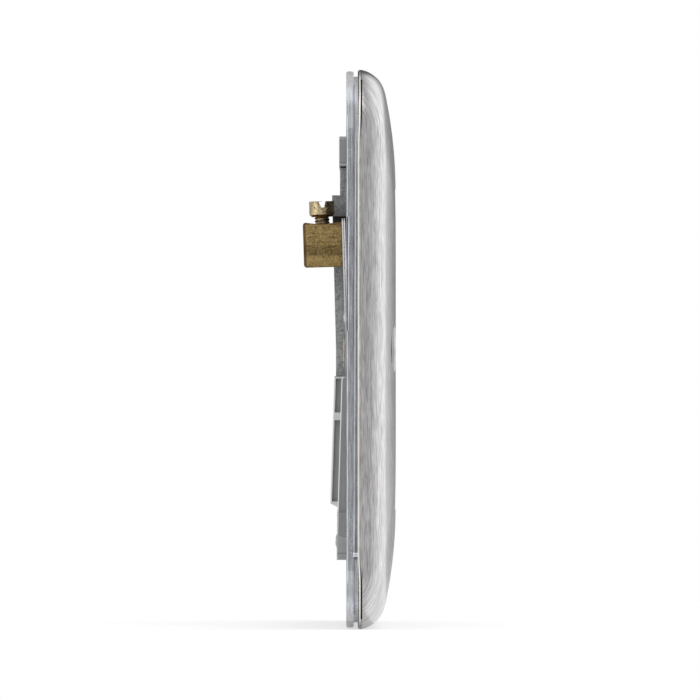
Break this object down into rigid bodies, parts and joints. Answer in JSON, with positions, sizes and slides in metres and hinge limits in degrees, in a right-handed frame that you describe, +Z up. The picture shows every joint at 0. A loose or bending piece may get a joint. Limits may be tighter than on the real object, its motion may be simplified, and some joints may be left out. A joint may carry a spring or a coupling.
{
  "type": "switch plate",
  "caption": "Single gang raised-profile face plate for two wiring modules, with module frame, gasket, fixing holes and an earth terminal on a strap.",
  "frame": {"origin": "centre of the wall plane, midway between the two fixing holes", "axes": "+Z up, +X to the right seen from the front, the front faces -Y and the rear goes into the wall box towards +Y"},
  "size_m": [0.086, 0.0143, 0.086],
  "materials": {
    "brushed_plate": "satin, brushed along its height",
    "clear_gasket": "frosted, translucent",
    "grey_moulding": "fine spark-eroded texture",
    "stud_steel": "plain",
    "spring_steel": "plated",
    "plated_strap": "bright zinc plating",
    "eyelet_brass": "nickel-plated brass",
    "terminal_brass": "sawn and tumbled, dull",
    "screw_brass": "turned, bright"
  },
  "bodies": {
    "plate": {"front_plate": "brushed_plate", "gasket": "clear_gasket", "module_frame": "grey_moulding", "plate_studs": "stud_steel", "stud_retainers": "spring_steel", "earth_strap": "plated_strap", "earth_eyelet": "eyelet_brass", "earth_terminal_block": "terminal_brass"},
    "terminal_screw": {"earth_terminal_screw": "screw_brass"}
  },
  "joints": [
    {"name": "terminal_screw_travel", "type": "slide", "parent": "plate", "child": "terminal_screw", "axis": [0, 0.0297, 0.9996], "range_m": [-0.00084, 0.0018]}
  ]
}
